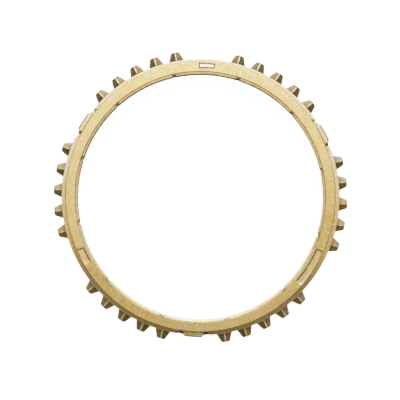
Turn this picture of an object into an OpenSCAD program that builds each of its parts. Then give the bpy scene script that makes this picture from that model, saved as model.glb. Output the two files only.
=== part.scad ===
// Outer synchronizer ring of a gearbox: one forged and machined piece of brass.
// The axis of the ring is Z. The face towards the gear lies on z = 0, the face
// towards the hub is up. All dimensions are in millimetres.

/* [Ring] */
// Height of the ring along its axis
ring_h = 12; // [11.6:0.1:13]
// Diameter of the wall that the spline teeth stand on
wall_d = 121.3; // [120.8:0.1:121.8]
// Outside diameter of the flat land on the hub side
land_od = 117.3; // [117:0.1:117.8]
// Inside diameter of the flat land on the hub side
land_id = 109.4; // [109:0.1:110]
// Height at which the drafted shoulder starts
shoulder_z = 9.8; // [8.8:0.1:10.4]
// Height of the small step that bounds the land on the outside
step_h = 0.3; // [0.2:0.05:0.5]
// Width of that step, seen along the axis
step_w = 0.16; // [0.1:0.02:0.24]
// Height of the small step that bounds the land on the inside
inner_step_h = 0.2; // [0.1:0.05:0.3]
// Width of that step, seen along the axis
inner_step_w = 0.12; // [0.08:0.02:0.2]
// Edge break on the gear side
edge_c = 0.4; // [0.2:0.05:0.6]

/* [Friction cone] */
// Diameter at the small end, on the hub side
cone_d = 106.7; // [106:0.1:107.4]
// Half angle of the cone
cone_angle = 6; // [5.5:0.1:6.5]
// Depth of the lead-in chamfer above the small end
cone_lead = 0.7; // [0.5:0.05:1.2]
// Number of axial oil grooves
groove_count = 12; // [6:1:15]
// Width of a groove at the cone
groove_w = 2.2; // [1.8:0.1:2.8]
// Width of a groove at its bottom
groove_bottom_w = 1.5; // [1:0.1:1.7]
// Depth of a groove at the small end of the cone
groove_depth = 0.75; // [0.6:0.05:0.9]
// Slope of the bottom of a groove to the axis
groove_angle = 3.2; // [3.1:0.1:5]

/* [Spline teeth] */
// Tip diameter of the teeth
tip_d = 130; // [129:0.1:131]
// Divisions of the spline: every tooth sits on one of them
divisions = 42; // [42]
// Groups of teeth round the ring
groups = 6; // [6]
// Teeth in each group
teeth_in_group = 5; // [1:2:5]
// Width of a tooth at its tip
tooth_tip_w = 3.7; // [3.2:0.1:4]
// Angle of each flank to the middle of the tooth
flank_angle = 22; // [18:0.5:24]
// Height of the ridge between the two pointing faces, at the wall
ridge_z = 7; // [6.4:0.1:7.4]
// How far the ridge falls on its way out to the tip, in degrees
ridge_fall = 10; // [0:1:12]
// Slope of the pointing faces
point_angle = 34; // [28:1:38]
// Width of the flat on the ridge
ridge_flat = 0.4; // [0.2:0.1:0.8]

/* [Index lugs] */
// Number of lugs, each in a gap between two groups of teeth
lug_count = 3; // [3]
// Outside diameter over the lugs
lug_d = 122.7; // [122.3:0.1:123.2]
// Height of the lug's top
lug_top_z = 11.2; // [10.6:0.1:11.4]
// Width of a lug at the foot of its tapered outline
lug_w = 10.6; // [9.6:0.1:11.4]
// Width of a lug at its outer edge
lug_edge_w = 7.2; // [6:0.1:8]
// Width of the top of a lug, between its drafted sides
lug_top_w = 8.5; // [7.6:0.1:9]
// Draft of those sides
lug_draft = 25; // [10:1:30]
// Size of the broken edge round the outside of the top
lug_break = 0.5; // [0.2:0.05:0.6]
// Width over the two reliefs beside a lug
relief_w = 14.2; // [13.4:0.1:15.4]
// Height of the floor of the reliefs at its outer edge
relief_z = 8.6; // [7.6:0.1:8.8]
// Height of that floor at the foot of the land
relief_in_z = 10.4; // [9.6:0.1:10.6]
// How far the wall stands back in the reliefs
relief_back = 0.15; // [0.05:0.05:0.3]

/* [Marking fields] */
// Depth of the sunk fields in the land
field_depth = 0.4; // [0.2:0.05:0.6]
// Length of the short, the middle and the long field
field_len = [6.8, 7.1, 17.2];
// Inside diameter of the short, the middle and the long field
field_id = [112.6, 110.7, 110.9];
// Outside diameter of the short, the middle and the long field
field_od = [116.4, 116.7, 116.7];

/* [Hidden] */
$fn = 96;

wall_r = wall_d / 2;
tip_r = tip_d / 2;
land_ro = land_od / 2;
land_ri = land_id / 2;
lug_r = lug_d / 2;
cone_r = cone_d / 2;
cone_top_z = ring_h - cone_lead;
// Radius of the cone at any height
function cone_at(z) = cone_r + (cone_top_z - z) * tan(cone_angle);
// Radius of the shoulder at its upper end, where the step starts
shoulder_r = land_ro + step_w;
step_z = ring_h - step_h;
relief_r = wall_r - relief_back;

pitch = 360 / divisions;
group_pitch = 360 / groups;
// Half width of a tooth at a distance x from the axis
function half_w(x) = tooth_tip_w / 2 + (tip_r - x) * tan(flank_angle);
root_x = wall_r - 1.4;
// Angle that a length takes up at a radius
function arc(len, r) = len / r * 180 / PI;

// Section of the ring: gear face, wall, drafted shoulder, step, land, step,
// lead-in chamfer and friction cone
module section() {
    polygon([
        [cone_at(edge_c) + edge_c, 0],
        [wall_r - edge_c, 0],
        [wall_r, edge_c],
        [wall_r, shoulder_z],
        [shoulder_r, step_z],
        [land_ro, ring_h],
        [land_ri, ring_h],
        [land_ri - inner_step_w, ring_h - inner_step_h],
        [cone_r, cone_top_z],
        [cone_at(edge_c), edge_c]
    ]);
}

// Turns its child, a section, through an angle centred on +X
module sector(angle) {
    rotate([0, 0, -angle / 2]) rotate_extrude(angle = angle) children();
}

// One tooth on +X: tapered flanks, and a roof that points to the hub and
// whose ridge falls a little towards the tip
module tooth() {
    e = 5;
    f = ridge_flat / 2;
    eave = (e - f) * tan(point_angle);
    intersection() {
        linear_extrude(ridge_z + 1)
            polygon([
                [root_x, -half_w(root_x)], [tip_r + 1, -half_w(tip_r + 1)],
                [tip_r + 1, half_w(tip_r + 1)], [root_x, half_w(root_x)]
            ]);
        translate([wall_r, 0, ridge_z]) rotate([0, ridge_fall, 0])
            translate([root_x - wall_r - 2, 0, 0]) rotate([90, 0, 90])
                linear_extrude(tip_r - root_x + 5)
                    polygon([
                        [-e, -ridge_z - 3], [e, -ridge_z - 3],
                        [e, -eave], [f, 0], [-f, 0], [-e, -eave]
                    ]);
    }
}

// All the teeth, turned to the tip diameter with a broken lower edge
module teeth() {
    half = (teeth_in_group - 1) / 2;
    intersection() {
        union() {
            for (g = [0 : groups - 1], t = [-half : half])
                rotate([0, 0, g * group_pitch + t * pitch]) tooth();
        }
        rotate_extrude()
            polygon([
                [root_x - 2, -1], [tip_r - edge_c - 1, -1],
                [tip_r - edge_c, 0], [tip_r, edge_c],
                [tip_r, ridge_z + 2], [root_x - 2, ridge_z + 2]
            ]);
    }
}

// Places its children in the gaps that hold the lugs
module at_lugs() {
    for (i = [0 : lug_count - 1])
        rotate([0, 0, group_pitch / 2 + i * 360 / lug_count]) children();
}

// Relief on both sides of a lug: the wall stands back, and a sloping floor is
// cut down through the shoulder
module relief() {
    sector(arc(relief_w, wall_r - 1))
        polygon([
            [shoulder_r, relief_in_z], [relief_r, relief_z],
            [relief_r, -1], [wall_r + 2, -1],
            [wall_r + 2, ring_h + 1], [shoulder_r, ring_h + 1]
        ]);
}

// One lug on +X: a block on the wall with a tapered outline, drafted sides
// and a broken outer edge
module lug() {
    x0 = land_ro - 1;
    x1 = wall_r - 0.9;
    top = lug_top_w / 2;
    foot = top + lug_top_z * tan(lug_draft);
    intersection() {
        translate([0, 0, edge_c])
            linear_extrude(lug_top_z - edge_c)
                polygon([
                    [x0, -lug_w / 2], [x1, -lug_w / 2],
                    [lug_r + 0.1, -lug_edge_w / 2], [lug_r + 0.1, lug_edge_w / 2],
                    [x1, lug_w / 2], [x0, lug_w / 2]
                ]);
        translate([x0 - 1, 0, 0]) rotate([90, 0, 90])
            linear_extrude(lug_r - x0 + 3)
                polygon([[-foot, 0], [foot, 0], [top, lug_top_z], [-top, lug_top_z]]);
        rotate_extrude()
            polygon([
                [x0 - 1, 0], [lug_r - edge_c, 0], [lug_r, 2 * edge_c],
                [lug_r, lug_top_z - 1.3 * lug_break], [lug_r - lug_break, lug_top_z],
                [lug_r - lug_break, ring_h], [x0 - 1, ring_h]
            ]);
    }
}

// Sunk field in the land, in one of the gaps that hold no lug
module field(i) {
    ri = field_id[i] / 2;
    ro = field_od[i] / 2;
    rotate([0, 0, 1.5 * group_pitch + i * 2 * group_pitch])
        sector(arc(field_len[i], (ri + ro) / 2))
            translate([ri, ring_h - field_depth]) square([ro - ri, field_depth + 1]);
}

// Oil groove on +X: it runs from end to end and gets shallower towards the
// large end of the cone
module oil_groove() {
    w = groove_w / 2;
    b = groove_bottom_w / 2;
    out = (w - b) / groove_depth;
    translate([cone_r, 0, cone_top_z]) rotate([0, -groove_angle, 0])
        translate([0, 0, -ring_h - 3]) linear_extrude(ring_h + 6)
            polygon([
                [-2, -w - 2 * out], [groove_depth, -b],
                [groove_depth, b], [-2, w + 2 * out]
            ]);
}

module synchronizer_ring() {
    color([0.80, 0.68, 0.42])
    difference() {
        union() {
            difference() {
                rotate_extrude() section();
                at_lugs() relief();
            }
            at_lugs() lug();
            teeth();
        }
        for (i = [0 : 2]) field(i);
        for (i = [0 : groove_count - 1])
            rotate([0, 0, (i + 0.5) * 360 / groove_count]) oil_groove();
    }
}

synchronizer_ring();
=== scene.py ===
"""Synchronizer ring: the visual model and its studio.

The ring is one closed mesh. It is drawn as two families of closed loops round
the axis. The outer family carries the teeth, lugs, reliefs and marking fields,
the inner one the lead-in chamfer, the threaded friction cone and its oil
grooves. Two strips of triangles on the flat faces join them. Lengths in this
part are millimetres, and are turned to metres when the mesh is written.
"""

import math

import bmesh
import bpy
import numpy as np
from mathutils import Matrix, Vector


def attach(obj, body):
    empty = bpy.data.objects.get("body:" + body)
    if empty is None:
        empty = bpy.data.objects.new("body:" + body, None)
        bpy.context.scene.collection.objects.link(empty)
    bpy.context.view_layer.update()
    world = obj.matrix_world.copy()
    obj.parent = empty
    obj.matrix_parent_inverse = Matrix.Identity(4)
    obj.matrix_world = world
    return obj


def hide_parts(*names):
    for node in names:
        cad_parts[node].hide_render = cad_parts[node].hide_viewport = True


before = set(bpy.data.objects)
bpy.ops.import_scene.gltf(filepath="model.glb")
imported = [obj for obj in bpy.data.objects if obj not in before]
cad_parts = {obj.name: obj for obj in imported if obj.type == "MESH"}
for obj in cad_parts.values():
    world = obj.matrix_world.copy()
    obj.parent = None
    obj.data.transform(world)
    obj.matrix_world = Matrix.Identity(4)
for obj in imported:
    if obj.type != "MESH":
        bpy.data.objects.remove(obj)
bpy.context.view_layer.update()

NODE = "synchronizer_ring"
DEG = math.pi / 180.0

# ---------------------------------------------------------------- dimensions
RING_H = 12.0
WALL_R = 60.65
LAND_RO = 58.67
LAND_RI = 54.68
SHOULDER_Z = 9.8
STEP_H = 0.3
STEP_W = 0.16
EDGE = 0.4

CONE_R = 53.35
CONE_ANGLE = 6.0
CONE_TOP = RING_H - 0.7
GROOVES = 12
GROOVE_W = 2.2
GROOVE_BOTTOM_W = 1.5
GROOVE_DEPTH = 0.75
GROOVE_ANGLE = 3.2
THREAD_PITCH = 1.0
THREAD_DEPTH = 0.3

TIP_R = 64.85
DIVISIONS = 42
GROUPS = 6
TEETH = 5
TIP_W = 3.7
FLANK = 22.0
RIDGE_Z = 7.0
RIDGE_FALL = 10.0
POINT = 34.0
RIDGE_FLAT = 0.42

LUG_R = 61.35
LUG_TOP = 11.2
LUG_W = 10.6
LUG_EDGE_W = 7.2
RELIEF_W = 14.2
RELIEF_Z = 8.5
RELIEF_IN_Z = 10.4
RELIEF_R = 60.5

FIELD_DEPTH = 0.4
FIELD_LEN = (6.8, 7.1, 17.2)
FIELD_RI = (56.3, 55.35, 55.45)
FIELD_RO = (58.2, 58.33, 58.33)

PITCH = 2 * math.pi / DIVISIONS
SHOULDER_R = LAND_RO + STEP_W
STEP_Z = RING_H - STEP_H
TAN_CONE = math.tan(CONE_ANGLE * DEG)


def cone_at(z):
    return CONE_R + (CONE_TOP - z) * TAN_CONE


def groove_at(z, share):
    """Radius in an oil groove; share is 1 on its bottom and 0 at its edges."""
    bottom = CONE_R + GROOVE_DEPTH + (CONE_TOP - z) * math.tan(GROOVE_ANGLE * DEG)
    return cone_at(z) + share * (bottom - cone_at(z))


# ------------------------------------------------------------------- helpers
def smin(a, b, k):
    h = max(k - abs(a - b), 0.0) / k
    return min(a, b) - h * h * k * 0.25


def smax(a, b, k):
    return -smin(-a, -b, k)


def clamp(x):
    return min(max(x, 0.0), 1.0)


def smooth(a, b, x):
    t = min(max((x - a) / (b - a), 0.0), 1.0)
    return t * t * (3 - 2 * t)


def bend(before, corner, after, t):
    """Three points that round a corner of a section, t from it on each side."""
    out = []
    for other in (before, after):
        d = (other[0] - corner[0], other[1] - corner[1])
        n = math.hypot(*d) or 1.0
        s = min(t, 0.49 * n)
        out.append((corner[0] + d[0] / n * s, corner[1] + d[1] / n * s))
    mid = tuple(
        0.25 * out[0][i] + 0.5 * corner[i] + 0.25 * out[1][i] for i in range(2)
    )
    return [out[0], mid, out[1]]


def along(a, b, *shares):
    return [(a[0] + (b[0] - a[0]) * s, a[1] + (b[1] - a[1]) * s) for s in shares]


# The forging and the turning of the ring are a tenth or two out of centre.
TURN = 2.88 * DEG  # how far the ring is turned in the picture
# Each centre is (right, up, out of round).
OFF_WALL = (0.08, -0.12, 0.2)
OFF_TIP = (0.03, 0.06, 0.0)
OFF_LAND = (0.0, 0.12, -0.1)


def off(centre, th):
    a = th - TURN
    return centre[0] * math.cos(a) + centre[1] * math.sin(a) + centre[2] * math.cos(2 * a)


def warp(r, th):
    """A radius between the land and the wall, moved with their centres."""
    k = min(max((r - SHOULDER_R) / (WALL_R - SHOULDER_R), 0.0), 1.0)
    return r + (1 - k) * off(OFF_LAND, th) + k * off(OFF_WALL, th)


# ----------------------------------------------------- stations, outer family
# Each station is one slice through the wall, the shoulder and the land.
TOOTH_Y = (0.0, 0.195, 0.235, 0.29, 0.65, 1.1, 1.55, 1.75, 1.9, 2.1, 2.6, 3.0, 3.25, 3.45, 3.66, 3.95)
LUG_Y = (0.0, 1.3, 2.5, 3.2, 3.45, 3.7, 3.95, 4.15, 4.3, 4.42, 4.55, 4.68, 4.8, 4.92, 5.05, 5.2, 5.4, 5.65, 5.95, 6.3, 6.7, 6.82, 6.9, 7.0, 7.1, 7.18, 7.26, 7.4, 7.8, 8.5, 9.2)


def stations():
    out = []
    half = (TEETH - 1) // 2
    for g in range(GROUPS):
        mid = g * 2 * math.pi / GROUPS
        for t in range(-half, half + 1):
            a = mid + t * PITCH
            ys = [-y for y in reversed(TOOTH_Y[1:])] + list(TOOTH_Y)
            for y in ys:
                th = a + math.atan2(y, math.sqrt(WALL_R**2 - y * y))
                out.append({"kind": "tooth", "a": a, "y": y, "th": th})
            if t < half:
                out.append({"kind": "plain", "th": a + PITCH / 2})
        c = mid + math.pi / GROUPS
        end = 3 * PITCH / 2 - 3.95 / WALL_R
        if g % 2 == 0:
            ys = [-y for y in reversed(LUG_Y[1:])] + list(LUG_Y)
            for y in ys:
                out.append({"kind": "lug", "a": c, "y": y, "th": c + math.asin(y / 60.2)})
        else:
            i = {1: 0, 3: 1, 5: 2}[g]
            mid_r = (FIELD_RI[i] + FIELD_RO[i]) / 2
            h = FIELD_LEN[i] / mid_r / 2
            e = 1.0 / mid_r
            n = max(3, int(h / (1.15 * e)))
            ts = [h * k / n for k in range(n)] + [h - 0.5 * e, h - 0.3 * e, h - 0.18 * e, h - 0.02 * e, h + 0.10 * e]
            ts = sorted(t for t in set(ts) if t <= h - 0.6 * e or t > h - 0.51 * e)
            rest = end - ts[-1]
            k = max(1, int(rest / (1.2 * e)))
            ts += [ts[-1] + rest * (j + 0.5) / (k + 0.5) for j in range(k)]
            for t in [-t for t in reversed(ts[1:])] + ts:
                if abs(t) < end:
                    out.append({"kind": "field", "th": c + t, "t": t, "h": h, "e": e, "i": i})
    for s in out:
        s["th"] %= 2 * math.pi
    out.sort(key=lambda s: s["th"])
    return out


def relief_end(y):
    """0 in a relief, 1 on the shoulder beyond its end."""
    return min(max((y - RELIEF_W / 2 + 0.26) / 0.42, 0.0), 1.0)


def lug_radius(y):
    """Outside radius of a lug, or of the wall beside it."""
    wall = RELIEF_R + (WALL_R - RELIEF_R) * relief_end(y)
    taper = (LUG_R - (WALL_R - 0.9)) / ((LUG_W - LUG_EDGE_W) / 2)
    return smax(wall, smin(LUG_R, LUG_R - (y - LUG_EDGE_W / 2) * taper, 0.25), 0.12)


def lug_height(r, y):
    """Height of the surface in a gap that holds a lug: the drafted shoulder,
    the relief cut into it, and the lug that stands in the relief."""
    shoulder = SHOULDER_Z + (WALL_R - r) * (STEP_Z - SHOULDER_Z) / (WALL_R - SHOULDER_R)
    relief = RELIEF_Z + (WALL_R - r) * (RELIEF_IN_Z - RELIEF_Z) / (WALL_R - SHOULDER_R)
    base = relief + (shoulder - relief) * relief_end(y)
    if y > 6.0:
        return base
    top = LUG_TOP + smin(0.0, (LUG_W / 2 - 1.05 - y) * 2.1, 0.2)
    return smax(base, top, 0.2)


def outline(s):
    """Section above the tooth level, from the outer corner up to the edge of
    the land, as (radius, height)."""
    plain_b, plain_e = (WALL_R, SHOULDER_Z), (SHOULDER_R, STEP_Z)
    land = (LAND_RO - 1.0, RING_H)
    edge = (LAND_RO, RING_H)
    y = abs(s["y"]) if s["kind"] == "lug" else 99.0
    if y > 7.5:
        pts = bend((WALL_R, SHOULDER_Z - 2), plain_b, plain_e, 0.22)
        pts += along(plain_b, plain_e, 0.28, 0.42, 0.56, 0.7, 0.84)
        pts += bend(plain_b, plain_e, edge, 0.1)
    else:
        ro = lug_radius(y)
        zo = lug_height(ro, y)
        rim = smooth(60.75, 61.3, ro)
        rounded = bend((ro, zo - 1.0), (ro, zo), (ro - 0.3, lug_height(ro - 0.3, y)), 0.3)
        broken = ((ro, zo - 0.8), (ro - 0.06, zo - 0.64), (ro - 0.5, lug_height(ro - 0.5, y) - 0.04))
        pts = [(a + (c - a) * rim, b + (d - b) * rim) for (a, b), (c, d) in zip(rounded, broken)]
        e = relief_end(y)
        for a, b in ((60.2, 60.22), (59.85, 59.88), (59.5, 59.55), (59.2, 59.3)):
            r = a + (b - a) * e
            pts.append((r, lug_height(r, y)))
        z0 = lug_height(SHOULDER_R, y)
        foot = (SHOULDER_R, STEP_Z)
        low = (SHOULDER_R + 0.1 * e, min(z0 + 0.5 * (STEP_Z - z0), STEP_Z) - 0.2 * e)
        if z0 > LUG_TOP - 1.0:
            k = smooth(LUG_TOP - 1.0, LUG_TOP - 0.1, z0)
            foot = (SHOULDER_R + 0.18 * k, STEP_Z + (LUG_TOP - 0.04 - STEP_Z) * k)
            low = (SHOULDER_R + 0.28 * k, low[1] + (LUG_TOP - 0.01 - low[1]) * k)
        pts.append(low)
        pts += bend(low, foot, edge, 0.1)
    pts += bend(pts[-1], edge, land, 0.1)
    # the shoulder keeps its slope where its width changes
    drop = (off(OFF_WALL, s["th"]) - off(OFF_LAND, s["th"])) * (STEP_Z - SHOULDER_Z) / (WALL_R - SHOULDER_R)
    drop *= smooth(4.2, 5.4, y)
    out = []
    for r, z in pts:
        k = clamp((r - SHOULDER_R) / (WALL_R - SHOULDER_R))
        out.append((warp(r, s["th"]), z - k * drop))
    return out


def field_rows(s):
    """Rows over the land, with the sunk field where the station crosses it."""
    th = s["th"]
    ri, ro = FIELD_RI[1], FIELD_RO[1]
    for k, at in ((0, 90.0), (2, 330.0)):
        gap = abs((th - at * DEG + math.pi) % (2 * math.pi) - math.pi)
        near = 1.0 - smooth(20 * DEG, 36 * DEG, gap)
        ri += (FIELD_RI[k] - FIELD_RI[1]) * near
        ro += (FIELD_RO[k] - FIELD_RO[1]) * near
    depth = 0.0
    if s["kind"] == "field":
        d = (s["h"] - abs(s["t"])) / s["e"]
        depth = FIELD_DEPTH * (0.0 if d < 0 else 0.12 if d < 0.1 else 0.88 if d < 0.25 else 1.0)
        if s["i"]:
            # the wide fields get shallower towards one end and run out there
            lean = s["t"] / s["h"] * (1 if s["i"] == 2 else -1)
            depth *= 0.75 + 0.25 * min(max(lean, -1.0), 1.0)
            if lean < 0:
                depth = FIELD_DEPTH * (0.75 + 0.25 * max(lean, -1.0)) * clamp(d / 0.5) ** 1.2
    rows = []
    wall = ((0.1, 0.0), (-0.02, 0.12), (-0.18, 0.88), (-0.3, 1.0), (-0.5, 1.0))
    wide = wall
    if s["kind"] == "field":
        wide = ((0.1, 0.0), (-0.02, 0.08), (-0.3, 0.7), (-0.45, 0.95), (-0.65, 1.0))
        if s["i"] == 0:
            wide = ((0.1, 0.0), (-0.03, 0.1), (-0.11, 0.9), (-0.2, 1.0), (-0.5, 1.0))
    for dr, share in wide:
        rows.append((ro + dr, RING_H - depth * share))
    rows.append(((ri + ro) / 2, RING_H - depth))
    for dr, share in reversed(wall):
        rows.append((ri - dr, RING_H - depth * share))
    if s["kind"] == "field" and s["i"] == 0:
        # the floor of the short field leans outwards a little
        for k in range(2, 9):
            r, z = rows[k]
            rows[k] = (r, z + 0.22 * depth * ((ri + ro) / 2 - r) / 1.2 * (0.4 if k in (2, 8) else 1.0))
    rows.append((55.08, RING_H))
    return rows, depth / FIELD_DEPTH


# What each row of the outer family is: forged skin (1) or machined (0), and
# how much painted shade darkens a hollow corner there.
ROW_FORGED = [0, 0, 0, 0, 0.4, 1] + [1] * 9 + [1] * 8 + [0.5, 0.2, 0, 0, 0, 0] + [0] * 12
ROW_SHADE = [0] * 6 + [0, 0, 0, 0, 0, 0.45, 0.8, 0.2, 0] + [0] * 8 + [0.62, 0.7, 0.62, 0.25, 0.05, 0] + [0] * 12


def field_shade(s, j):
    """How much painted shade darkens the corner of a sunk field at row j of its station."""
    d = (s["h"] - abs(s["t"])) / s["e"]
    if d < -0.05:
        return 0.0
    across = (0.0, 0.35, 0.9, 0.5, 0.0, 0.0, 0.25, 1.0, 1.0, 1.0, 0.5)[j - 29]
    end = 0.6 if d < 0.1 else 1.0 if d < 0.25 else 0.8 if d < 0.4 else 0.0
    if s["i"] == 0 and j < 34:
        across *= 0.15
    if s["i"]:
        # painted shade: only the walls that face the front, away from the light behind the ring, are darkened
        across *= (0.5 if j > 38 else 1.0) if j > 34 else 0.05
        end *= 1.0 if (s["t"] > 0) == (s["i"] == 2) else 0.05
        if j in (29, 39):
            end = 0.0
    if d < 0.1:
        across = min(across, 0.6)
    return max(across, end)


def lug_shade(s):
    """How dark the foot of a lug and the ends of its reliefs are painted: painted
    shade on the walls that face the front, away from the light behind the ring."""
    y, a = abs(s["y"]), s["a"] - TURN
    down = -math.cos(a) * math.copysign(1.0, s["y"])
    foot = min(clamp(1.6 * down - 0.9 * math.sin(a)), 0.88)
    end = clamp(-1.6 * down - 0.5 * math.sin(a))
    reach = 0.9 * clamp(-math.sin(a))
    at_foot = smooth(4.3, 4.8, y) * (1.0 - smooth(5.5 + reach, 6.0 + reach, y))
    at_end = smooth(6.6, 6.85, y) * (1.0 - smooth(7.15, 7.4, y))
    return max(foot * at_foot, 0.95 * end * at_end)


def lug_edge_shade(s, j):
    """How dark the rim of a lug (rows 15 to 17) and its foot at the land (rows
    20 to 25) are painted: painted shade, most on the lug that faces the front, away from the light."""
    down = clamp(-math.sin(s["a"] - TURN))
    on = 1.0 - smooth(LUG_W / 2 - 1.3, LUG_W / 2 - 0.6, abs(s["y"]))
    if j < 18:
        return on * (0.3 + 0.6 * down) * (1.0, 0.9, 0.3)[j - 15]
    return on * down * (0.3, 0.75, 0.9, 0.95, 0.95, 0.85)[j - 20]


def slice_rows(s):
    """All rows of one station, as x, y, z with the two surface marks."""
    rows = []
    ca, sa = math.cos(s["th"]), math.sin(s["th"])

    def polar(r, z):
        rows.append((r * ca, r * sa, z))

    polar(58.0, 0.0)
    polar(59.2, 0.0)
    if s["kind"] == "tooth":
        a, y = s["a"], s["y"]
        ct, st = math.cos(a), math.sin(a)
        wall, tip = WALL_R + off(OFF_WALL, s["th"]), TIP_R + off(OFF_TIP, a)
        wx = math.sqrt(wall**2 - y * y)
        fx = tip + (TIP_W / 2 - abs(y)) / math.tan(FLANK * DEG)
        xe = smax(smin(math.sqrt(tip**2 - y * y), fx, 0.75), wx, 1.1)
        zr = smin(RIDGE_Z, RIDGE_Z + (RIDGE_FLAT / 2 - abs(y)) * math.tan(POINT * DEG), 0.03)
        zr = max(zr, 4.25)
    else:
        r = WALL_R
        if s["kind"] == "lug" and abs(s["y"]) < 7.5:
            r = lug_radius(abs(s["y"]))
        wx = xe = warp(r, s["th"])
        zr = 4.25
        ct, st, y = ca, sa, 0.0

    h = xe - wx
    w = max(0.0, 1.0 - h / 0.5)
    rho, c = min(0.3, 0.4 * h), min(0.25, 0.4 * h)

    fall = math.tan(RIDGE_FALL * DEG)

    def tooth(x, z):
        rows.append((x * ct - y * st, x * st + y * ct, z))

    def roof(x, z):
        tooth(x, z - (x - wx) * fall)

    tooth(xe - EDGE - 0.3, 0.0)
    tooth(xe - EDGE, 0.0)
    tooth(xe - 0.293 * EDGE, 0.293 * EDGE)
    tooth(xe, EDGE)
    roof(xe, EDGE + (zr - rho - EDGE) * 0.5)
    roof(xe, zr - rho - 0.12 * w)
    roof(xe - 0.293 * rho, zr - 0.293 * rho - 0.06 * w)
    roof(xe - rho, zr)
    roof(wx + c + (xe - rho - wx - c) * 0.5, zr + 0.06 * w)
    roof(wx + c, zr + 0.12 * w)
    roof(wx + 0.293 * c, zr + 0.293 * c + 0.2 * w)
    tooth(wx, zr + c + 0.3 * w)
    up = outline(s)
    tooth(wx, 0.5 * (zr + c + 0.3 * w + min(up[0][1], SHOULDER_Z)))
    for r, z in up:
        polar(r, z)
    fields, sunk = field_rows(s)
    for r, z in fields:
        polar(r, z)
    return rows, sunk


# ----------------------------------------------------- stations, inner family
def inner_stations():
    out = []
    step = 2 * math.pi / GROOVES
    w, b = GROOVE_W / 2 / CONE_R, GROOVE_BOTTOM_W / 2 / CONE_R
    e = 1.0 / CONE_R
    for k in range(GROOVES):
        c = (k + 0.5) * step
        for t, g in ((0.0, 1.0), (b - 0.12 * e, 1.0), (b + 0.04 * e, 0.86), (w - 0.06 * e, 0.14), (w + 0.08 * e, 0.0)):
            for sign in (-1, 1) if t else (1,):
                out.append((c + sign * t, g))
        n = 24
        first = w + 0.08 * e
        for j in range(1, n):
            out.append((c + first + (step - 2 * first) * j / n, 0.0))
    return sorted((t % (2 * math.pi), g) for t, g in out)


def groove_shade(th):
    """How dark an oil groove is painted: painted shade, most behind the ring, none in front."""
    return smooth(-0.1, 0.25, math.sin(th - TURN))


# Stretches of the land with a coarser, pitted skin: (picture angle, reach, how much).
WORN = ((261.0, 15.0, 0.9), (76.0, 17.0, 0.65), (312.0, 9.0, 0.5), (172.0, 10.0, 0.45), (43.0, 9.0, 0.4), (226.0, 8.0, 0.3))


# Stretches painted a shade darker and browner: on the land, and
# outside it on the shoulder and the teeth.
DARKER_STRETCHES = ((221.0, 12.0, 0.95), (238.0, 24.0, 0.7), (344.0, 13.0, 0.95), (4.0, 13.0, 0.4), (309.0, 9.0, 0.8))
DARKER_RIM_STRETCHES = ((264.0, 34.0, 0.9),)
# Stretches where the painted shade along the land's inner edge is weakened; a negative amount strengthens it.
EDGE_SHADE_EASED = ((110.0, 22.0, 0.4), (186.0, 12.0, 0.2), (56.0, 12.0, -0.25))


def stretch(p, spots, out):
    a = math.degrees(math.atan2(p[1], p[0]) - TURN)
    for at, reach, much in spots:
        gap = (a - at + 180.0) % 360.0 - 180.0
        out += much * math.exp(-((gap / reach) ** 2))
    return min(out, 1.0)


def wear(p):
    return stretch(p, WORN, 0.2)


def darkening(p):
    return stretch(p, DARKER_STRETCHES if math.hypot(p[0], p[1]) < LAND_RO + 0.1 else DARKER_RIM_STRETCHES, 0.0)


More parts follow.
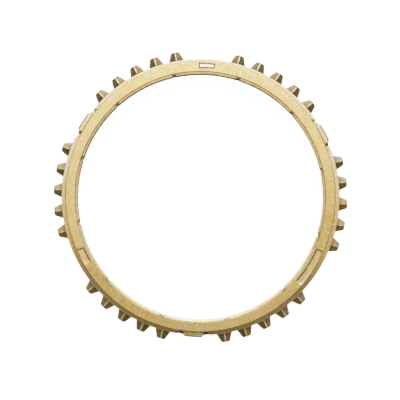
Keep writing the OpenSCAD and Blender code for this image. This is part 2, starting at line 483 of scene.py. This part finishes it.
def build():
    """Vertices, faces and the marks of each vertex."""
    verts, faces, marks = [], [], []

    def add(p, forged, painted_shade, sunk=0.0, cone=0.0, tooth=0.0):
        verts.append(p)
        marks.append((forged, painted_shade, sunk, cone, tooth, max(wear(p), 0.5 if 0.0 < sunk < 0.9 else 0.0), darkening(p)))
        return len(verts) - 1

    # outer family
    outer = stations()
    grid = []
    for s in outer:
        rows, sunk = slice_rows(s)
        col = []
        for j, p in enumerate(rows):
            in_field = line = tooth = 0.0
            # painted shade at the foot of a lug and at the ends of its reliefs
            if s["kind"] == "lug" and 15 <= j <= 22:
                line = lug_shade(s)
            # painted shade on the rim of a lug and on its foot at the land
            if s["kind"] == "lug" and j in (15, 16, 17, 20, 21, 22, 23, 24, 25):
                line = max(line, lug_edge_shade(s, j))
            if s["kind"] == "tooth" and abs(s["y"]) < 3.3 and 4 <= j <= 11:
                tooth = 1.0
            # painted shade along the walls of the sunk fields
            if sunk > 0.05 and 29 <= j <= 39:
                line = field_shade(s, j)
                if sunk > 0.3 and 32 <= j <= 36:
                    in_field = 1.0 if s["i"] == 0 else 0.1
            # painted shade in the hollow corners of each row, at the tooth roots and along the land
            hollow = ROW_SHADE[j]
            if 11 <= j <= 13 and (s["kind"] != "tooth" or abs(s["y"]) > 3.3):
                hollow = 0.0
            # painted shade on the floors of the wide sunk fields
            if s["kind"] == "field" and s["i"] and 31 <= j <= 37 and sunk > 0.02:
                hollow = max(hollow, 0.12)
            skin = ROW_FORGED[j] if in_field < 0.9 else in_field
            col.append(add(p, skin, max(hollow, line), in_field, 0.0, tooth))
        grid.append(col)
    n, rows_n = len(grid), len(grid[0])
    for i in range(n):
        a, b = grid[i], grid[(i + 1) % n]
        for j in range(rows_n - 1):
            faces.append((a[j], b[j], b[j + 1], a[j + 1]))

    # inner family, from the land down the lead-in chamfer
    inner = inner_stations()
    m = len(inner)
    front = [(LAND_RI + 0.25, RING_H)]
    edge, foot = (LAND_RI, RING_H), (LAND_RI - 0.12, RING_H - 0.2)
    mouth = (CONE_R, CONE_TOP)
    front += bend(front[0], edge, foot, 0.09)
    front += bend(edge, foot, mouth, 0.09)
    front += along(foot, mouth, 0.16, 0.55)
    front += bend(foot, mouth, (cone_at(8.0), 8.0), 0.16)
    # painted shade in the corners along the land's inner edge and at the mouth of the cone
    shade_f = [0, 0, 0, 0.15, 0.58, 0.7, 0.5, 0, 0, 0, 0, 0.35]
    skin_f = [0, 0, 0, 0.2, 0.5, 0.8, 0.8, 0.8, 0.8, 0.8, 0.6, 0.4]
    loops = []
    for k, ((r, z), fo) in enumerate(zip(front, skin_f)):
        loop = []
        for th, g in inner:
            rr = max(r, groove_at(z, g) - 0.02) if g else r
            cr = shade_f[k]
            # the painted shade along the land's inner edge is weakened in listed stretches
            if 3 <= k <= 6:
                cr *= 1.0 - stretch((math.cos(th), math.sin(th)), EDGE_SHADE_EASED, 0.0)
            # painted shade: a dark line at the mouth of the cone, strongest behind the ring
            if k > 8:
                cr = max(cr, (0.85, 0.96, 0.97)[k - 9] * smooth(0.2, 0.7, math.cos(th - TURN - 108 * DEG)))
            # painted shade in the oil grooves
            if rr > r + 0.02:
                cr = max(cr, 0.6 * g * groove_shade(th))
            loop.append(add((rr * math.cos(th), rr * math.sin(th), z), fo, cr, 0.0, 0.4 if g else 1.0 if k == len(front) - 1 else 0.0))
        loops.append(loop)
    # thread: rows run along a helix, so one turn ends per_turn rows lower
    shape = ((0.0, 0.0), (0.06, 0.0), (0.28, 0.0), (0.35, 0.1), (0.52, 0.9), (0.6, 1.0), (0.76, 1.0), (0.83, 0.9))
    per_turn = len(shape)
    z_hi, z_lo = CONE_TOP - 0.3, 0.75
    turns = int((z_hi - z_lo) / THREAD_PITCH)
    rows_t = (turns - 1) * per_turn + 1
    coil = []
    for j in range(rows_t):
        row = []
        for i, (th, g) in enumerate(inner):
            ph, dep = shape[j % per_turn]
            z = z_hi - THREAD_PITCH * (j // per_turn + ph + i / m)
            fade = smooth(0.0, 0.5, z_hi - z - 0.05) * smooth(0.0, 0.5, z - (z_hi - THREAD_PITCH * turns) + 0.05)
            cut = THREAD_DEPTH * dep * fade
            if g:
                cut = max(cut, groove_at(z, g) - cone_at(z))
            rr = cone_at(z) + cut
            # painted shade in the bottoms of the thread and in the oil grooves
            thread_shade = 0.35 * dep * fade
            if g:
                thread_shade = max(thread_shade, 0.6 * g * groove_shade(th))
            # cone mark: darker brass on the cone, more in the thread bottoms and grooves as painted shade
            row.append(add((rr * math.cos(th), rr * math.sin(th), z), 0.0, thread_shade, 0.0, 0.5 + 0.5 * max(dep * fade, g)))
        coil.append(row)
    for a, b in zip(loops, loops[1:]):
        for i in range(m):
            k = (i + 1) % m
            faces.append((a[i], a[k], b[k], b[i]))
    for j in range(rows_t - 1):
        for i in range(m):
            if i + 1 < m:
                faces.append((coil[j][i], coil[j][i + 1], coil[j + 1][i + 1], coil[j + 1][i]))
            elif j + 1 + per_turn < rows_t:
                faces.append((coil[j][i], coil[j + per_turn][0], coil[j + 1 + per_turn][0], coil[j + 1][i]))
    # lead-in of the helix under the last plain loop
    top = loops[-1]
    for i in range(m - 1):
        faces.append((top[i], top[i + 1], coil[0][i + 1], coil[0][i]))
    faces.append((top[m - 1], top[0], *[coil[j][0] for j in range(per_turn + 1)], coil[0][m - 1]))
    # gear side: run-out of the helix, edge break and face
    back = [(cone_at(EDGE) - 0.0, EDGE + 0.06), (cone_at(EDGE) + 0.06, EDGE - 0.08), (cone_at(EDGE) + EDGE - 0.08, 0.06), (cone_at(EDGE) + EDGE + 0.1, 0.0), (56.6, 0.0)]
    tail = []
    for r, z in back:
        loop = []
        for th, g in inner:
            rr = max(r, groove_at(z, g)) if g else r
            loop.append(add((rr * math.cos(th), rr * math.sin(th), z), 0.0, 0.0, 0.0, 0.0))
        tail.append(loop)
    last = coil[-1]
    for i in range(m - 1):
        faces.append((last[i], last[i + 1], tail[0][i + 1], tail[0][i]))
    faces.append((last[0], tail[0][0], tail[0][m - 1], *[coil[j][m - 1] for j in range(rows_t - 1, rows_t - 2 - per_turn, -1)]))
    for a, b in zip(tail, tail[1:]):
        for i in range(m):
            k = (i + 1) % m
            faces.append((a[i], a[k], b[k], b[i]))

    # strips of triangles between the two families on the flat faces
    def zip_up(la, lb, ang_a, ang_b):
        i = j = 0
        na, nb = len(la), len(lb)
        while i < na or j < nb:
            nxt_a = ang_a[(i + 1) % na] + (2 * math.pi if i + 1 >= na else 0.0)
            nxt_b = ang_b[(j + 1) % nb] + (2 * math.pi if j + 1 >= nb else 0.0)
            if j >= nb or (i < na and nxt_a <= nxt_b):
                faces.append((la[i % na], la[(i + 1) % na], lb[j % nb]))
                i += 1
            else:
                faces.append((la[i % na], lb[(j + 1) % nb], lb[j % nb]))
                j += 1

    ang_o = [s["th"] for s in outer]
    ang_i = [t for t, _ in inner]
    zip_up([c[-1] for c in grid], loops[0], ang_o, ang_i)
    zip_up([c[0] for c in grid], tail[-1], ang_o, ang_i)
    return verts, faces, marks


def make_ring():
    verts, faces, marks = build()
    me = bpy.data.meshes.new("ring_brass")
    me.from_pydata([(x / 1000, y / 1000, z / 1000) for x, y, z in verts], [], faces)
    me.validate()
    bm = bmesh.new()
    bm.from_mesh(me)
    bmesh.ops.remove_doubles(bm, verts=bm.verts, dist=2e-7)
    bmesh.ops.dissolve_degenerate(bm, edges=bm.edges, dist=1e-7)
    bmesh.ops.recalc_face_normals(bm, faces=bm.faces)
    bm.to_mesh(me)
    bm.free()
    # the marks are looked up again by place, since joining moves the indices
    key = {}
    for p, mk in zip(verts, marks):
        key[tuple(round(c * 20000 / 1000) for c in p)] = mk
    names = ("forged", "painted_shade", "sunk", "cone", "tooth", "wear", "darkening")
    data = np.zeros((len(me.vertices), len(names)), dtype=np.float32)
    for k, v in enumerate(me.vertices):
        data[k] = key.get(tuple(round(c * 20000) for c in v.co), (0.5, 0, 0, 0, 0, 0.2, 0))
    for i, name in enumerate(names):
        at = me.attributes.new(name, "FLOAT", "POINT")
        at.data.foreach_set("value", np.ascontiguousarray(data[:, i]))
    for p in me.polygons:
        p.use_smooth = True
    ob = bpy.data.objects.new("ring_brass", me)
    bpy.context.scene.collection.objects.link(ob)
    wn = ob.modifiers.new("even_normals", "WEIGHTED_NORMAL")
    wn.mode = "FACE_AREA"
    wn.weight = 60
    wn.keep_sharp = False
    return ob


# ------------------------------------------------------------------ material
def brass():
    mat = bpy.data.materials.new("brass_forged")
    mat.use_nodes = True
    nt = mat.node_tree
    nt.nodes.clear()
    L = nt.links.new

    def node(kind, **kw):
        n = nt.nodes.new(kind)
        for k, v in kw.items():
            setattr(n, k, v)
        return n

    def noise_tex(scale, detail, rough, vec):
        n = node("ShaderNodeTexNoise")
        n.inputs["Scale"].default_value = scale
        n.inputs["Detail"].default_value = detail
        n.inputs["Roughness"].default_value = rough
        L(vec, n.inputs["Vector"])
        return n.outputs["Fac"]

    def ramp(fac, lo, hi, out_lo, out_hi):
        n = node("ShaderNodeMapRange")
        n.inputs["From Min"].default_value = lo
        n.inputs["From Max"].default_value = hi
        n.inputs["To Min"].default_value = out_lo
        n.inputs["To Max"].default_value = out_hi
        L(fac, n.inputs["Value"])
        return n.outputs["Result"]

    def math_node(op, a, b):
        n = node("ShaderNodeMath", operation=op)
        for k, v in enumerate((a, b)):
            if isinstance(v, (int, float)):
                n.inputs[k].default_value = v
            else:
                L(v, n.inputs[k])
        return n.outputs[0]

    def mix(fac, a, b, kind="MIX"):
        n = node("ShaderNodeMix", data_type="RGBA", blend_type=kind)
        for sock, v in ((n.inputs["Factor"], fac), (n.inputs["A"], a), (n.inputs["B"], b)):
            if isinstance(v, (int, float)):
                sock.default_value = v
            elif isinstance(v, tuple):
                sock.default_value = v
            else:
                L(v, sock)
        return n.outputs["Result"]

    def attr(name):
        n = node("ShaderNodeAttribute", attribute_name=name)
        return n.outputs["Fac"]

    out = node("ShaderNodeOutputMaterial")
    bsdf = node("ShaderNodeBsdfPrincipled")
    L(bsdf.outputs["BSDF"], out.inputs["Surface"])
    co = node("ShaderNodeTexCoord").outputs["Object"]

    def hairlines(angle, along, across, lo, hi):
        """Fine straight scratches that run one way: a stretched noise."""
        turn = node("ShaderNodeMapping")
        turn.inputs["Rotation"].default_value = (0, 0, angle * DEG)
        L(co, turn.inputs["Vector"])
        pull = node("ShaderNodeVectorMath", operation="MULTIPLY")
        pull.inputs[1].default_value = (along, across, 40.0)
        L(turn.outputs["Vector"], pull.inputs[0])
        return ramp(noise_tex(1.0, 1, 0.4, pull.outputs["Vector"]), lo, hi, 0.0, 1.0)

    forged, painted_shade, sunk, cone, tooth, worn, darkened = (attr(n) for n in ("forged", "painted_shade", "sunk", "cone", "tooth", "wear", "darkening"))
    blotch = noise_tex(160, 3, 0.55, co)
    mottle = noise_tex(900, 4, 0.6, co)
    grain = noise_tex(3200, 3, 0.6, co)
    speck = noise_tex(1900, 2, 0.55, co)
    patch = math_node("MULTIPLY", worn, ramp(noise_tex(60, 2, 0.5, co), 0.35, 0.6, 0.45, 1.0))
    patch = math_node("MAXIMUM", patch, math_node("MULTIPLY", forged, 0.35))
    scratch = math_node("MAXIMUM", hairlines(23, 45, 2600, 0.70, 0.78), hairlines(-51, 60, 3000, 0.71, 0.79))
    scratch = math_node("MULTIPLY", scratch, ramp(noise_tex(110, 1, 0.5, co), 0.42, 0.6, 0.0, 1.0))

    base = mix(ramp(blotch, 0.35, 0.65, 0.0, 1.0), (0.79, 0.515, 0.14, 1), (0.86, 0.605, 0.195, 1))
    skin = mix(ramp(blotch, 0.35, 0.65, 0.0, 1.0), (0.77, 0.55, 0.245, 1), (0.82, 0.60, 0.28, 1))
    base = mix(forged, base, skin)
    base = mix(math_node("MULTIPLY", tooth, 0.6), base, (0.79, 0.57, 0.235, 1))
    base = mix(ramp(mottle, 0.4, 0.66, 0.0, 0.6), base, (0.62, 0.40, 0.14, 1))
    base = mix(ramp(mottle, 0.52, 0.34, 0.0, 0.45), base, (0.94, 0.705, 0.25, 1))
    base = mix(ramp(grain, 0.56, 0.72, 0.0, 0.6), base, (0.95, 0.775, 0.39, 1))
    # darker, browner stretches at listed places round the ring
    base = mix(math_node("MULTIPLY", darkened, ramp(noise_tex(640, 3, 0.6, co), 0.4, 0.6, 0.2, 1.0)), base, (0.60, 0.375, 0.085, 1))
    base = mix(math_node("MULTIPLY", ramp(speck, 0.55, 0.66, 0.0, 0.75), patch), base, (1.0, 0.86, 0.50, 1))
    base = mix(math_node("MULTIPLY", ramp(speck, 0.46, 0.36, 0.0, 0.8), patch), base, (0.48, 0.30, 0.10, 1))
    base = mix(math_node("MULTIPLY", scratch, 0.5), base, (1.0, 0.84, 0.50, 1))
    pale = math_node("MULTIPLY", sunk, ramp(speck, 0.38, 0.6, 0.55, 1.0))
    base = mix(pale, base, (1.0, 0.80, 0.37, 1))
    # painted shade: hollow corners and creases are darkened almost to black
    dark = math_node("MULTIPLY", painted_shade, ramp(mottle, 0.3, 0.7, 0.84, 1.0))
    # the friction cone is painted darker brass, and darker still in the bottoms of its thread and grooves: painted
    # shade there
    base = mix(math_node("MULTIPLY", cone, 0.8), base, (0.20, 0.125, 0.045, 1))
    base = mix(dark, base, (0.04, 0.026, 0.01, 1))
    L(base, bsdf.inputs["Base Color"])
    bsdf.inputs["Metallic"].default_value = 1.0

    rough = ramp(mottle, 0.3, 0.7, 0.30, 0.40)
    rough = math_node("ADD", rough, math_node("MULTIPLY", forged, -0.06))
    rough = math_node("SUBTRACT", rough, math_node("MULTIPLY", cone, 0.08))
    rough = math_node("SUBTRACT", rough, math_node("MULTIPLY", scratch, 0.08))
    rough = math_node("ADD", rough, math_node("MULTIPLY", sunk, ramp(sunk, 0.8, 0.95, 0.16, 0.0)))
    L(rough, bsdf.inputs["Roughness"])

    bump = node("ShaderNodeBump")
    bump.inputs["Strength"].default_value = 0.5
    bump.inputs["Distance"].default_value = 0.00006
    h = math_node("ADD", math_node("MULTIPLY", mottle, 1.0), math_node("MULTIPLY", grain, 0.5))
    pits = math_node("MULTIPLY", speck, math_node("MULTIPLY", patch, 0.6))
    h = math_node("ADD", h, math_node("SUBTRACT", pits, math_node("MULTIPLY", scratch, 0.35)))
    L(h, bump.inputs["Height"])
    L(bump.outputs["Normal"], bsdf.inputs["Normal"])
    return mat


ring = make_ring()
ring.data.materials.append(brass())
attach(ring, "root")
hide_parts(NODE)

# -------------------------------------------------------------------- studio
scene = bpy.context.scene


def make_floor():
    me = bpy.data.meshes.new("floor")
    s = 3.0
    me.from_pydata([(-s, -s, 0), (s, -s, 0), (s, s, 0), (-s, s, 0)], [], [(0, 1, 2, 3)])
    ob = bpy.data.objects.new("floor", me)
    scene.collection.objects.link(ob)
    mat = bpy.data.materials.new("floor_white")
    mat.use_nodes = True
    b = mat.node_tree.nodes["Principled BSDF"]
    b.inputs["Base Color"].default_value = (0.9, 0.9, 0.9, 1)
    b.inputs["Roughness"].default_value = 0.9
    b.inputs["Specular IOR Level"].default_value = 0.1
    b.inputs["Emission Color"].default_value = (1, 1, 1, 1)
    b.inputs["Emission Strength"].default_value = 2.6
    me.materials.append(mat)
    ob.visible_glossy = False
    return ob


def make_backdrop():
    """A plain pale sweep far behind the ring, on every side of it."""
    prof = [(1.2, 0.0)]
    prof += [(1.6 + 0.9 * math.sin(q * DEG), 0.9 - 0.9 * math.cos(q * DEG)) for q in range(0, 91, 9)]
    prof += [(2.5, 2.0), (2.5, 4.0)]
    n = 96
    pts = [(r * math.cos(2 * math.pi * i / n), r * math.sin(2 * math.pi * i / n), z + 0.0005) for r, z in prof for i in range(n)]
    faces = []
    for j in range(len(prof) - 1):
        for i in range(n):
            k = (i + 1) % n
            faces.append((j * n + i, j * n + k, (j + 1) * n + k, (j + 1) * n + i))
    me = bpy.data.meshes.new("backdrop")
    me.from_pydata(pts, [], faces)
    for p in me.polygons:
        p.use_smooth = True
    ob = bpy.data.objects.new("backdrop", me)
    scene.collection.objects.link(ob)
    me.materials.append(floor.data.materials[0])
    ob.visible_glossy = ob.visible_diffuse = ob.visible_shadow = False
    return ob


floor = make_floor()
make_backdrop()


def pic(x, y, z):
    """A place given by the picture's right and up, in the ring's frame."""
    c, s = math.cos(TURN), math.sin(TURN)
    return (x * c - y * s, x * s + y * c, z)


def studio_light():
    """Soft light all round: a wide bright field behind the ring and above it,
    a paler band of sky, and a dark horizon."""
    world = bpy.data.worlds.new("studio")
    world.use_nodes = True
    nt = world.node_tree
    nt.nodes.clear()
    L = nt.links.new

    def node(kind, **kw):
        n = nt.nodes.new(kind)
        for k, v in kw.items():
            setattr(n, k, v)
        return n

    def calc(op, a, b=None):
        n = node("ShaderNodeMath", operation=op)
        for k, v in enumerate((a, b)):
            if v is None:
                continue
            if isinstance(v, (int, float)):
                n.inputs[k].default_value = v
            else:
                L(v, n.inputs[k])
        return n.outputs[0]

    d = node("ShaderNodeTexCoord").outputs["Generated"]

    def towards(v):
        n = node("ShaderNodeVectorMath", operation="DOT_PRODUCT")
        n.inputs[1].default_value = Vector(v).normalized()
        L(d, n.inputs[0])
        return n.outputs["Value"]

    def ease(x, lo, hi, out_lo=0.0, out_hi=1.0):
        n = node("ShaderNodeMapRange", interpolation_type="SMOOTHSTEP")
        for k, v in zip(("From Min", "From Max", "To Min", "To Max"), (lo, hi, out_lo, out_hi)):
            n.inputs[k].default_value = v
        L(x, n.inputs["Value"])
        return n.outputs["Result"]

    def steps(x, stops):
        """A smooth curve through (x, value) stops, x from -1 to 1."""
        n = node("ShaderNodeValToRGB")
        n.color_ramp.interpolation = "LINEAR"
        els = n.color_ramp.elements
        els.remove(els[-1])
        for k, (q, v) in enumerate(stops):
            e = els[0] if k == 0 else els.new((q + 1) / 2)
            e.position = (q + 1) / 2
            e.color = (v / RAMP_MAX, v / RAMP_MAX, v / RAMP_MAX, 1)
        L(calc("ADD", calc("MULTIPLY", x, 0.5), 0.5), n.inputs["Fac"])
        return calc("MULTIPLY", n.outputs["Color"], RAMP_MAX)

    def blend(w, a, b):
        return calc("ADD", a, calc("MULTIPLY", w, calc("SUBTRACT", b, a)))

    up = towards((0, 0, 1))
    far = towards(pic(0, 1, 0))
    side = towards(pic(1, 0, 0))
    flat = calc("SQRT", calc("ADD", calc("ADD", calc("MULTIPLY", far, far), calc("MULTIPLY", side, side)), 0.0004))
    around = calc("DIVIDE", far, flat)  # +1 behind the ring, -1 in front of it
    left = calc("MAXIMUM", calc("DIVIDE", side, calc("MULTIPLY", flat, -1.0)), 0.0)

    q = HEAD_AT * DEG
    gap = calc("ARCCOSINE", towards(pic(0, math.sin(q), math.cos(q))))
    head = calc("EXPONENT", calc("MULTIPLY", calc("POWER", calc("DIVIDE", gap, HEAD_WIDTH * DEG), 2.0), -1.0))
    sky = steps(far, SKY)
    sky = blend(ease(up, 0.84, 0.97), steps(around, RING), sky)
    sky = calc("MULTIPLY", sky, calc("SUBTRACT", 1.0, calc("MULTIPLY", head, HEAD_DEPTH)))
    horizon = calc("MULTIPLY", steps(around, HORIZON), blend(ease(left, 0.5, 0.8), 1.0, ease(around, -0.25, 0.15, 1.05, 0.79)))
    ground = steps(calc("SUBTRACT", around, calc("MULTIPLY", left, ease(around, -0.1, 0.3, 0.14, 0.02))), GROUND)
    light = blend(ease(up, 0.5, 0.8), horizon, sky)
    down = calc("MULTIPLY", up, -1.0)
    under = ease(far, -0.03, 0.1, 0.06, 0.9)
    deep = calc("MULTIPLY", ease(down, 0.2, 0.45), ease(down, 0.75, 0.9, 1.0, 0.0))
    ground = blend(deep, ground, steps(around, DEEP))
    ground = calc("MULTIPLY", ground, blend(ease(down, 0.8, 0.95), 1.0, under))
    light = blend(ease(down, -0.04, 0.16), light, ground)
    bg = node("ShaderNodeBackground")
    tint = node("ShaderNodeMix", data_type="RGBA")
    tint.inputs["A"].default_value = WARM
    tint.inputs["B"].default_value = COOL
    low = calc("MULTIPLY", ease(up, 0.3, 0.5), ease(up, 0.86, 0.95, 0.6, 0.0))
    cool = blend(ease(up, 0.6, 0.9), ease(far, -0.22, 0.22), ease(far, -0.02, 0.18))
    cool = calc("MAXIMUM", cool, low)
    corner = calc("MULTIPLY", ease(side, 0.3, 0.65), ease(far, 0.35, 0.6))
    cool = calc("MULTIPLY", cool, calc("SUBTRACT", 1.0, calc("MULTIPLY", corner, 0.25)))
    cool = calc("MAXIMUM", cool, ease(down, -0.04, 0.16, 0.0, 0.25))
    warm_side = calc("MULTIPLY", calc("MULTIPLY", left, ease(up, 0.0, 0.15)), ease(up, 0.45, 0.6, 0.7, 0.0))
    cool = calc("MULTIPLY", cool, calc("SUBTRACT", 1.0, warm_side))
    cool = calc("MULTIPLY", cool, calc("SUBTRACT", 1.0, calc("MULTIPLY", deep, 0.8)))
    L(cool, tint.inputs["Factor"])
    L(tint.outputs["Result"], bg.inputs["Color"])
    L(light, bg.inputs["Strength"])
    out = node("ShaderNodeOutputWorld")
    L(bg.outputs["Background"], out.inputs["Surface"])
    scene.world = world


RAMP_MAX = 4.0
WARM = (1.05, 0.955, 0.66, 1.0)
COOL = (0.965, 1.025, 1.55, 1.0)
SKY = ((-1.0, 1.2), (-0.6, 2.3), (-0.3, 0.95), (-0.1, 0.95), (0.0, 1.08), (0.1, 2.45), (0.2, 3.75), (0.45, 3.75), (0.8, 3.75), (1.0, 3.75))
RING = ((-1.0, 2.3), (-0.8, 1.7), (-0.5, 1.4), (0.0, 1.15), (0.5, 1.4), (0.87, 2.2), (1.0, 4.0))
HORIZON = ((-1.0, 0.12), (-0.87, 0.095), (-0.7, 0.065), (-0.5, 0.088), (-0.3, 0.115), (-0.1, 0.15), (0.1, 0.148), (0.26, 0.17), (0.5, 0.3), (0.7, 0.5), (0.87, 0.7), (1.0, 0.8))
GROUND = ((-1.0, 0.34), (-0.6, 0.45), (-0.3, 1.3), (0.0, 1.55), (0.3, 2.05), (0.5, 2.2), (0.8, 2.5), (1.0, 3.1))
DEEP = ((-1.0, 0.45), (-0.5, 0.65), (0.0, 0.9), (0.5, 1.0), (1.0, 1.1))
HEAD_AT, HEAD_WIDTH, HEAD_DEPTH = -14.0, 24.0, 0.86
studio_light()

# Picture tone: straight up to the middle tones, then a soft shoulder.
scene.view_settings.view_transform = "Standard"
scene.view_settings.look = "None"
scene.view_settings.use_curve_mapping = True
curves = scene.view_settings.curve_mapping
WHITE = 3.2
curves.use_clip = False
curves.white_level = (WHITE, WHITE, WHITE)
tone = curves.curves[3]
for x in (0.12, 0.25, 0.45, 0.7, 1.0, 1.4, 2.0):
    tone.points.new(x / WHITE, x / (1 + x**2.2) ** (1 / 2.2))
tone.points[-1].location = (1.0, 1.0)
curves.update()

# -------------------------------------------------------------------- camera
CAM_D = 0.475       # from the plane of the teeth
CAM_TILT = 1.4      # off the axis, degrees
CAM_SIDE = 285.0    # towards which side of the picture, degrees
MM_PER_PX = 0.44132
CENTRE_PX = (200.35, 196.85)

cam_data = bpy.data.cameras.new("camera")
cam_data.sensor_width = 36.0
cam_data.lens = 36.0 * CAM_D / (400 * MM_PER_PX / 1000)
cam_data.clip_start = 0.01
cam = bpy.data.objects.new("camera", cam_data)
scene.collection.objects.link(cam)
t, q = CAM_TILT * DEG, CAM_SIDE * DEG
plane = 0.0055
reach = math.sin(t) * CAM_D
eye = Vector(pic(reach * math.cos(q), reach * math.sin(q), plane + CAM_D * math.cos(t)))
aim = Vector(pic((200 - CENTRE_PX[0]) * MM_PER_PX / 1000, (CENTRE_PX[1] - 200) * MM_PER_PX / 1000, plane))
back = (eye - aim).normalized()
up0 = Vector(pic(0, 1, 0))
right = up0.cross(back).normalized()
up = back.cross(right).normalized()
m = Matrix((right, up, back)).transposed().to_4x4()
m.translation = eye
cam.matrix_world = m
scene.camera = cam
